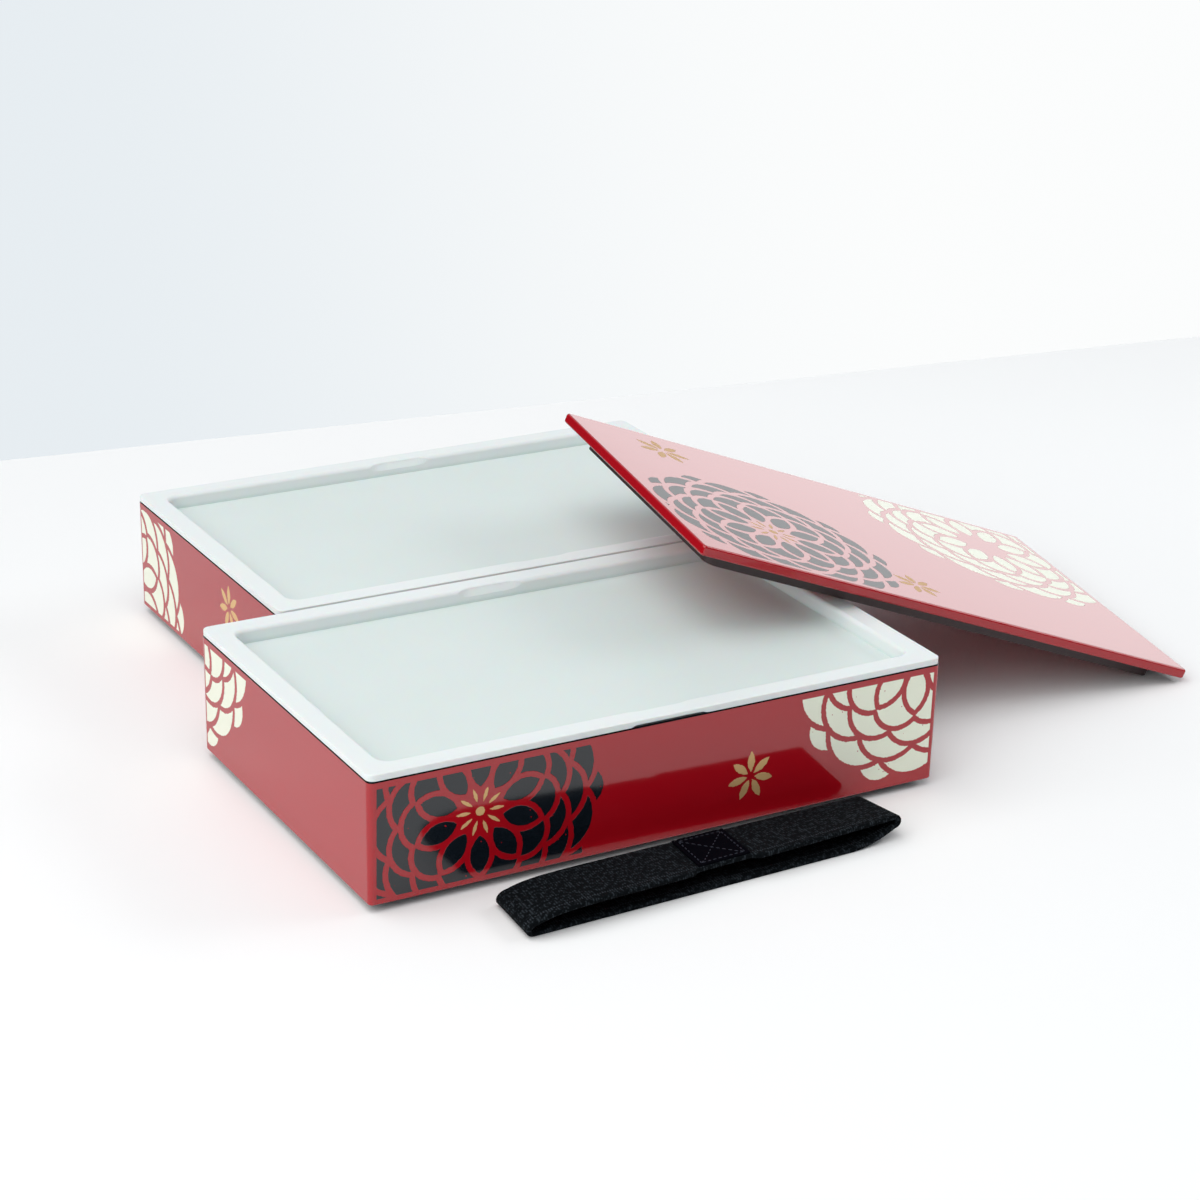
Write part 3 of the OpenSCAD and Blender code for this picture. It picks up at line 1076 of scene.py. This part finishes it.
    @staticmethod
    def weave_place(net: Net) -> tuple[Num, Num]:
        """Place along and across the tape in millimetres, from its own map."""
        coords = net.node("ShaderNodeUVMap", {"uv_map": "weave"}).outputs[0]
        parts = net.node("ShaderNodeSeparateXYZ", None, [coords])
        return net.num(parts, 0) * (1 / MM), net.num(parts, 1) * (1 / MM)


@dataclass
class Studio:
    """Table, soft lights, pale surroundings and the camera."""

    eye: Vector = field(default_factory=lambda: Vector((-0.41696, -0.74266, 0.39647)))
    yaw: float = math.radians(-29.92)
    pitch: float = math.radians(21.68)
    roll: float = math.radians(1.51)
    focal_pixels: float = 2974.62
    frame_pixels: float = 1200.0
    sensor: float = 36.0

    def set_up(self) -> None:
        """Build the table, the lights, the surroundings and the camera."""
        self.table()
        self.surroundings()
        self.softbox("key_softbox", (-0.86, -0.25, 1.20), (0.05, 0.05, 0.0), (2.4, 2.4), 35.0,
                     (1.0, 0.99, 0.97))
        self.softbox("top_softbox", (0.15, 0.10, 1.60), (0.10, 0.10, 0.0), (1.6, 1.6), 1.5,
                     (0.98, 0.99, 1.0))
        self.softbox("side_softbox", (1.25, -0.20, 0.85), (0.10, 0.05, 0.05), (0.9, 0.5), 5.0,
                     (1.0, 1.0, 1.0))
        self.softbox("rear_softbox", (1.15, 1.38, 0.095), (0.10, 0.05, 0.05), (1.7, 0.29), 1.25,
                     (1.0, 1.0, 1.0))
        self.camera()
        bpy.context.scene.view_settings.view_transform = "Standard"

    def camera(self) -> None:
        """Add the camera at the photograph's viewing angle."""
        forward = Vector((-math.sin(self.yaw) * math.cos(self.pitch),
                          math.cos(self.yaw) * math.cos(self.pitch), -math.sin(self.pitch)))
        level = Vector((math.cos(self.yaw), math.sin(self.yaw), 0.0))
        upright = level.cross(forward)
        right = math.cos(self.roll) * level + math.sin(self.roll) * upright
        up = math.cos(self.roll) * upright - math.sin(self.roll) * level
        lens = bpy.data.cameras.new("camera")
        lens.sensor_width = self.sensor
        lens.lens = self.focal_pixels / self.frame_pixels * self.sensor
        lens.clip_start = 0.01
        view = bpy.data.objects.new("camera", lens)
        view.matrix_world = Matrix.Translation(self.eye) @ Matrix((right, up, -forward)).transposed().to_4x4()
        bpy.context.scene.collection.objects.link(view)
        bpy.context.scene.camera = view

    @staticmethod
    def softbox(name: str, place: Sequence[float], aim: Sequence[float], size: tuple[float, float],
                power: float, colour: Colour) -> None:
        """Add a rectangular soft light.

        Args:
            name: Its name.
            place: Where it hangs, in metres.
            aim: The point that it faces.
            size: Its width and height.
            power: In watts.
            colour: Its colour.
        """
        lamp = bpy.data.lights.new(name, "AREA")
        lamp.shape = "RECTANGLE"
        lamp.size, lamp.size_y = size
        lamp.energy = power
        lamp.color = colour
        holder = bpy.data.objects.new(name, lamp)
        holder.location = place
        holder.rotation_euler = (Vector(aim) - Vector(place)).to_track_quat("-Z", "Y").to_euler()
        bpy.context.scene.collection.objects.link(holder)

    @staticmethod
    def table() -> None:
        """Add the pale table top, which ends a hand's breadth behind the box."""
        mesh = bmesh.new()
        bmesh.ops.create_grid(mesh, x_segments=8, y_segments=8, size=1.0)
        for vert in mesh.verts:
            across, along = vert.co.x * 1.6, vert.co.y
            far_edge = 0.352 - 0.12 * across
            vert.co = (across, far_edge - 1.1 * (1 - along), 0.0)
        data = bpy.data.meshes.new("table")
        mesh.to_mesh(data)
        mesh.free()
        material, net = new_material("pale_table")
        x, y, _ = net.place()
        cloud = net.noise(300.0, 2.0)
        colour = net.mix(cloud, (0.91, 0.915, 0.92), (0.94, 0.94, 0.94))
        # Painted light: the table's colour turns paler towards the rear right, standing in for brighter light
        # falling there.
        colour = net.mix(net.inside(350.0 - (x + y), 500.0), colour, (0.995, 0.995, 0.995))
        Finish("table", roughness=0.7).shade(net, colour)
        data.materials.append(material)
        top = bpy.data.objects.new("table", data)
        bpy.context.scene.collection.objects.link(top)

    @staticmethod
    def surroundings() -> None:
        """Light from all round, with a pale backdrop for the camera and a narrower one for gloss."""
        world = bpy.data.worlds.new("surroundings")
        world.use_nodes = True
        bpy.context.scene.world = world
        net = Net(world.node_tree)
        way = net.node("ShaderNodeSeparateXYZ", None, [net.node("ShaderNodeTexCoord").outputs["Generated"]])
        x, y, z = (net.num(way, axis) for axis in range(3))
        rays = net.node("ShaderNodeLightPath")
        backdrop = net.inside(0.72 - (x + y) * math.sqrt(0.5), 0.12) * net.inside(-z - 0.12, 0.1)
        ceiling = net.inside(0.55 - z, 0.5)
        gloss = net.mix(net.larger(backdrop, ceiling * 0.4), (0.02, 0.02, 0.022), (0.97, 0.985, 1.0))
        fill = net.mix(net.inside(0.15 - y, 1.1), (0.16, 0.18, 0.20), (0.31, 0.34, 0.365))
        paper = net.mix(net.inside(0.44 - x, 0.28), (0.80, 0.85, 0.885), (0.97, 0.98, 0.98))
        colour = net.mix(net.num(rays, "Is Glossy Ray"), fill, gloss)
        seen = net.larger(net.num(rays, "Is Camera Ray"), net.num(rays, "Is Transmission Ray"))
        colour = net.mix(seen, colour, paper)
        lit = net.node("ShaderNodeBackground", None, [colour, 1.0])
        net.node("ShaderNodeOutputWorld", None, [lit.outputs[0]])


def main() -> None:
    """Build and dress every piece, then set up the studio."""
    logging.basicConfig(level=logging.INFO, format="%(name)s: %(message)s")
    Studio().set_up()
    Tier("front_tier", stack_level=0).dress()
    Tier("rear_tier", stack_level=1).dress()
    InnerLid("front_inner_lid").dress()
    InnerLid("rear_inner_lid").dress()
    TopLid().dress()
    ElasticBand().build()


if __name__ == "__main__":
    main()
